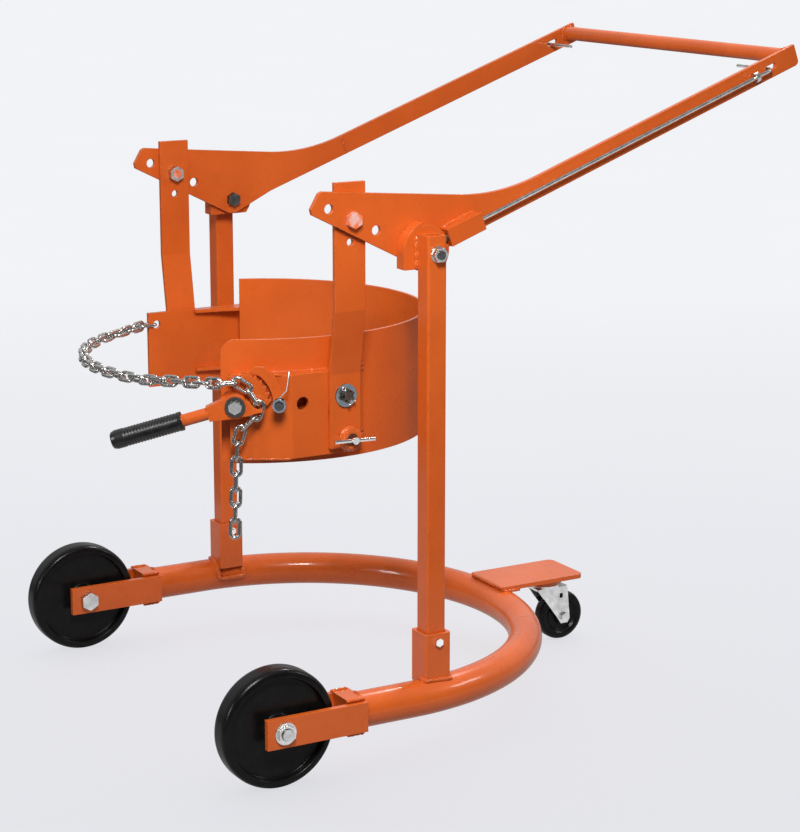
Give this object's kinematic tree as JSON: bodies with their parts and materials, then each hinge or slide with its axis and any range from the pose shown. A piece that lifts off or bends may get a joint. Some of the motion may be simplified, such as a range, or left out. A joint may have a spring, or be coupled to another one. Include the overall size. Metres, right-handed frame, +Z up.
{
  "type": "drum dolly",
  "caption": "Lever-lift drum dolly: horseshoe base on castors, two uprights, a long two-arm handle, hanger straps and a tilting saddle that chains round a drum.",
  "frame": {"origin": "bottom centre of the overall box, on the floor", "axes": "+Z up, +X to the ratchet side, -Y towards the open front where the drum stands, +Y towards the handle and the caster"},
  "size_m": [0.91, 1.2406, 1.1359],
  "materials": {
    "orange_enamel": "glossy orange enamel, lightly chipped",
    "zinc_plate": "bright zinc plate",
    "bare_steel": "plain dark steel",
    "black_wheel": "black moulded wheel, slightly glossy rim",
    "black_grip": "glossy black ribbed sleeve"
  },
  "bodies": {
    "base": {"base_hoop": "orange_enamel", "fork_blocks": "orange_enamel", "fork_plates_left": "orange_enamel", "fork_plates_right": "orange_enamel", "socket_left": "orange_enamel", "socket_right": "orange_enamel", "upright_left": "orange_enamel", "upright_right": "orange_enamel", "quadrant_left": "orange_enamel", "quadrant_right": "orange_enamel", "socket_bolts": "zinc_plate", "pivot_bolts": "bare_steel", "pivot_nuts": "zinc_plate", "axle_bolts": "bare_steel", "axle_washers": "zinc_plate", "foot_plate": "orange_enamel", "caster_plate": "orange_enamel", "caster_kingpin": "zinc_plate"},
    "wheel_left": {"front_wheel_left": "black_wheel", "wheel_bearing_left": "bare_steel"},
    "wheel_right": {"front_wheel_right": "black_wheel", "wheel_bearing_right": "bare_steel"},
    "caster_yoke": {"caster_fork": "zinc_plate", "caster_axle": "zinc_plate"},
    "caster_roller": {"caster_wheel": "black_wheel", "caster_bearing": "bare_steel"},
    "lever": {"lever_plate_left": "orange_enamel", "lever_plate_right": "orange_enamel", "arm_left": "orange_enamel", "arm_right": "orange_enamel", "cross_bar": "orange_enamel", "lock_housing_left": "orange_enamel", "lock_housing_right": "orange_enamel", "rod_eyelets": "zinc_plate", "lock_springs": "zinc_plate", "hanger_bolts": "orange_enamel", "hanger_nuts": "zinc_plate"},
    "lock_left": {"lock_rod_left": "zinc_plate", "lock_plunger_left": "bare_steel"},
    "lock_right": {"lock_rod_right": "zinc_plate", "lock_plunger_right": "bare_steel"},
    "hangers": {"strap_left": "orange_enamel", "strap_right": "orange_enamel", "pin_guide": "orange_enamel"},
    "pull_pin": {"tilt_pin": "zinc_plate"},
    "saddle": {"saddle_band": "orange_enamel", "ratchet_plate": "orange_enamel", "far_plate": "orange_enamel", "plate_webs": "orange_enamel", "trunnion_studs": "bare_steel", "trunnion_washers": "zinc_plate", "trunnion_nuts": "bare_steel", "cotter_pins": "zinc_plate", "ratchet_bolt": "bare_steel", "pawl_bolt": "zinc_plate", "pawl_spring": "zinc_plate", "cinch_chain": "zinc_plate"},
    "ratchet": {"ratchet_lever": "orange_enamel", "ratchet_grip": "black_grip"},
    "pawl_arm": {"pawl": "orange_enamel"}
  },
  "joints": [
    {"name": "front_wheel_left_spin", "type": "hinge", "parent": "base", "child": "wheel_left", "pos_m": [-0.404, -0.43996, 0.1], "axis": [1, 0, 0], "continuous": true},
    {"name": "front_wheel_right_spin", "type": "hinge", "parent": "base", "child": "wheel_right", "pos_m": [0.404, -0.43996, 0.1], "axis": [1, 0, 0], "continuous": true},
    {"name": "caster_swivel", "type": "hinge", "parent": "base", "child": "caster_yoke", "pos_m": [0, 0.33804, 0.108], "axis": [0, 0, 1], "continuous": true},
    {"name": "caster_spin", "type": "hinge", "parent": "caster_yoke", "child": "caster_roller", "pos_m": [0, 0.36904, 0.0475], "axis": [1, 0, 0], "continuous": true},
    {"name": "handle_lift", "type": "hinge", "parent": "base", "child": "lever", "pos_m": [0, -0.14196, 0.837], "axis": [1, 0, 0], "range_deg": [-20, 66]},
    {"name": "hanger_swing", "type": "hinge", "parent": "lever", "child": "hangers", "pos_m": [0, -0.26196, 0.893], "axis": [1, 0, 0], "range_deg": [-66, 20]},
    {"name": "saddle_tilt", "type": "hinge", "parent": "hangers", "child": "saddle", "pos_m": [0, -0.26196, 0.605], "axis": [1, 0, 0], "range_deg": [0, 90]},
    {"name": "tilt_pin_pull", "type": "slide", "parent": "hangers", "child": "pull_pin", "axis": [1, 0, 0], "range_m": [0, 0.012]},
    {"name": "lock_left_pull", "type": "slide", "parent": "lever", "child": "lock_left", "axis": [0, 0.9373, 0.3486], "range_m": [0, 0.012], "stiffness_N_per_m": 500},
    {"name": "lock_right_pull", "type": "slide", "parent": "lever", "child": "lock_right", "axis": [0, 0.9373, 0.3486], "range_m": [0, 0.012], "stiffness_N_per_m": 500},
    {"name": "ratchet_swing", "type": "hinge", "parent": "saddle", "child": "ratchet", "pos_m": [0.26637, -0.43268, 0.6], "axis": [0.8746, -0.4848, 0], "range_deg": [0, 75], "deforming": ["cinch_chain"]},
    {"name": "pawl_lift", "type": "hinge", "parent": "saddle", "child": "pawl_arm", "pos_m": [0.3003, -0.37146, 0.601], "axis": [-0.8746, 0.4848, 0], "range_deg": [0, 12], "stiffness_Nm_per_rad": 2, "deforming": ["pawl_spring"]}
  ],
  "couplings": [
    {"joint": "hanger_swing", "follows": "handle_lift", "ratio": -1}
  ]
}
